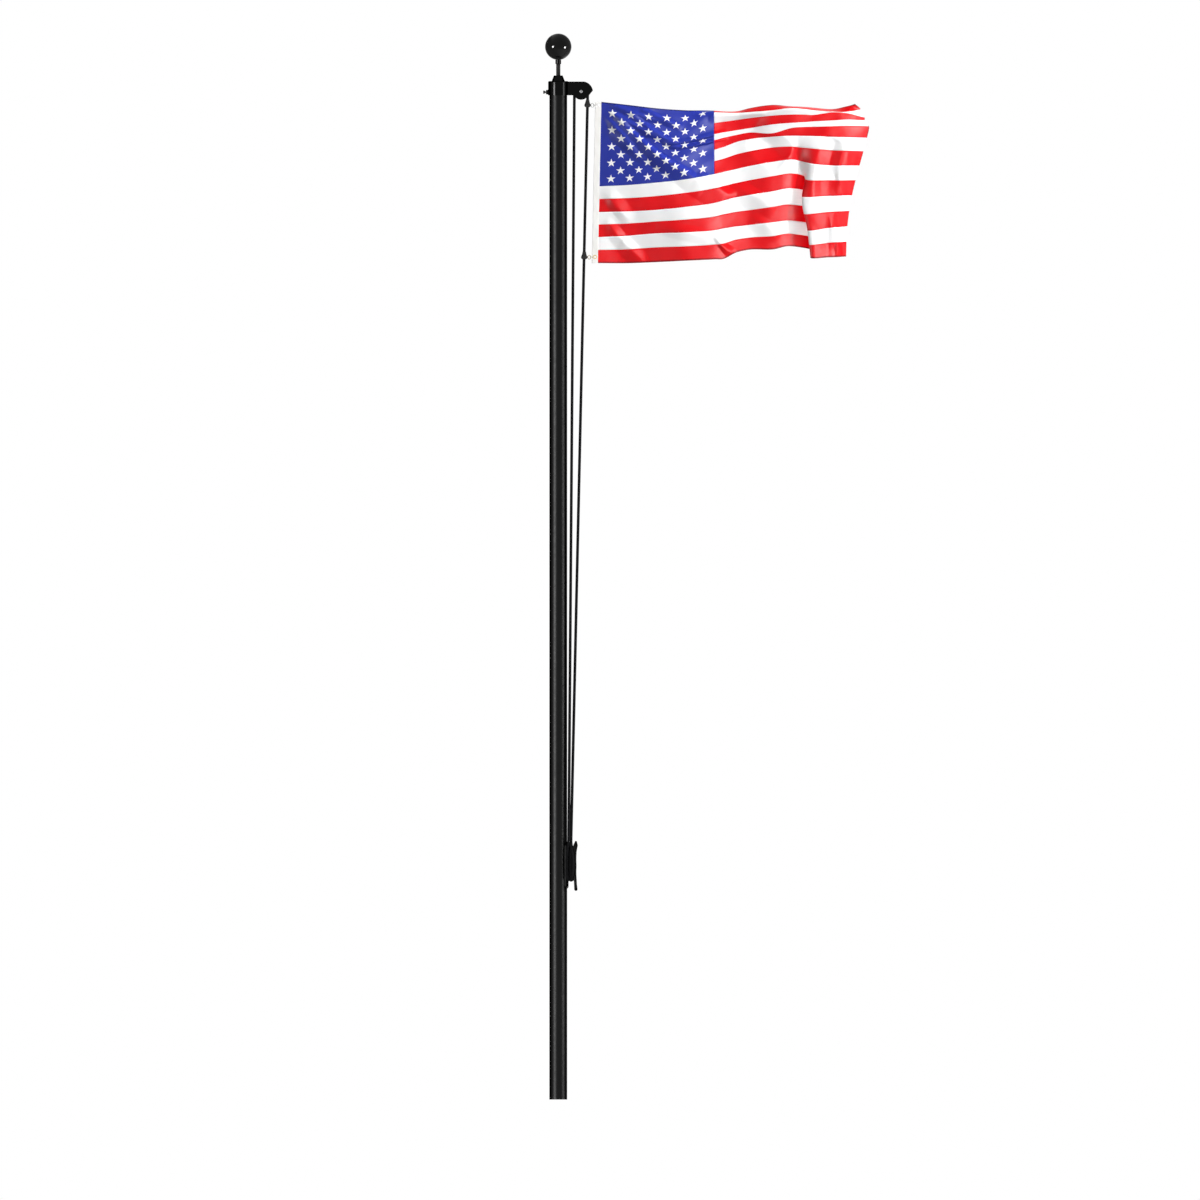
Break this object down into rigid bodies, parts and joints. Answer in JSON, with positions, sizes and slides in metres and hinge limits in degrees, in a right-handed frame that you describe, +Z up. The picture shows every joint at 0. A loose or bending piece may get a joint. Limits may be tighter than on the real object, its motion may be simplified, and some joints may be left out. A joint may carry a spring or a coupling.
{
  "type": "flagpole",
  "caption": "Tall straight black tube flagpole with a ball finial, a forked truck and sheave, a halyard made fast on a cleat, and a hoisted striped flag with a starred corner.",
  "frame": {"origin": "centre of the pole's foot, on the ground", "axes": "+Z up along the pole, +X along the truck's arm towards the flag, so that the front view looks along +Y"},
  "size_m": [2.7584, 0.2463, 9.14],
  "materials": {
    "black_powder_coat": "satin black powder coat",
    "gloss_black": "gloss black enamel on spun metal",
    "black_plastic": "moulded black nylon",
    "dark_steel": "blackened steel",
    "bright_steel": "zinc plated steel",
    "rope_braid": "braided polyester rope",
    "black_rubber": "matt black rubber",
    "clip_plastic": "pale moulded plastic",
    "brass": "spun brass",
    "white_canvas": "white canvas",
    "blue_cloth": "satin polyester",
    "red_cloth": "satin polyester",
    "white_cloth": "satin polyester"
  },
  "bodies": {
    "pole": {"pole_tube": "black_powder_coat", "foot_plug": "black_plastic", "truck": "black_powder_coat", "axle_bolt": "bright_steel", "axle_nut": "bright_steel", "set_screw": "black_powder_coat", "set_screw_nut": "black_powder_coat", "finial_spindle": "dark_steel", "finial_neck": "black_powder_coat", "finial_ball": "gloss_black", "cleat": "black_powder_coat", "cleat_screws": "dark_steel", "halyard": "rope_braid", "halyard_turns": "rope_braid"},
    "sheave": {"sheave": "black_plastic"},
    "flag": {"flag_heading": "white_canvas", "flag_canton": "blue_cloth", "flag_red_stripes": "red_cloth", "flag_white_stripes": "white_cloth", "upper_grommet": "bright_steel", "lower_grommet": "brass", "upper_snap_hook": "clip_plastic", "lower_snap_hook": "clip_plastic", "upper_stopper": "black_rubber", "lower_stopper": "black_rubber"}
  },
  "joints": [
    {"name": "flag_hoist", "type": "slide", "parent": "pole", "child": "flag", "axis": [0.0216, 0.0036, 0.9998], "range_m": [-4.85, 0]},
    {"name": "sheave_spin", "type": "hinge", "parent": "pole", "child": "sheave", "pos_m": [0.1958, 0, 8.643], "axis": [0, -1, 0], "continuous": true}
  ],
  "couplings": [
    {"joint": "sheave_spin", "follows": "flag_hoist", "rad_per_m": 17.483}
  ]
}
